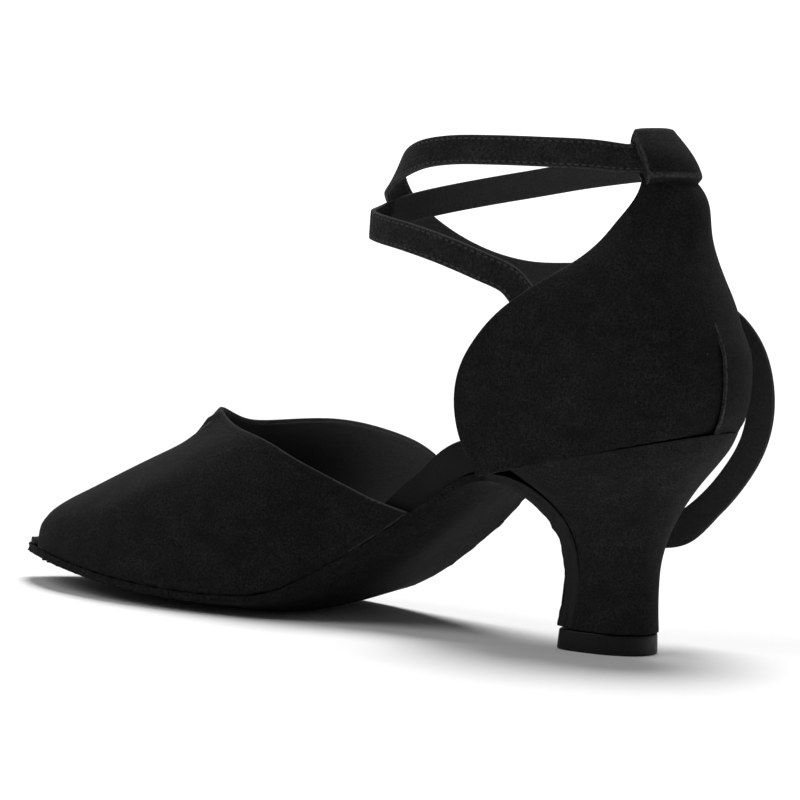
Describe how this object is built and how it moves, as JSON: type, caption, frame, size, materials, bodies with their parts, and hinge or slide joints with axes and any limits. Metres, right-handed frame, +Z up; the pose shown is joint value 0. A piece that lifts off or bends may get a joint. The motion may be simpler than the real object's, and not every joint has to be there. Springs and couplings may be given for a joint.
{
  "type": "ballroom dance shoe",
  "caption": "Right ballroom dance shoe in black suede: peep toe, open waist, high closed counter, ankle strap wound twice through a back loop, flared heel, suede sole.",
  "frame": {"origin": "on the floor, under the middle of the shoe's bounding box", "axes": "+Z up, +Y to the toe, +X to the wearer's right, which is the outer (lateral) side of this right shoe"},
  "size_m": [0.0714, 0.2286, 0.1424],
  "materials": {
    "upper_suede": "napped suede, matt",
    "sole_suede": "rough split suede, nap out",
    "insole_leather": "smooth matt lining leather",
    "heel_cover": "thin matt cover, fine nap",
    "lift_rubber": "satin rubber"
  },
  "bodies": {
    "root": {"outsole": "sole_suede", "insole": "insole_leather", "vamp": "upper_suede", "counter": "upper_suede", "back_strip": "upper_suede", "strap_loop": "upper_suede", "heel": "heel_cover", "top_lift": "lift_rubber", "ankle_strap": "upper_suede"}
  },
  "joints": []
}
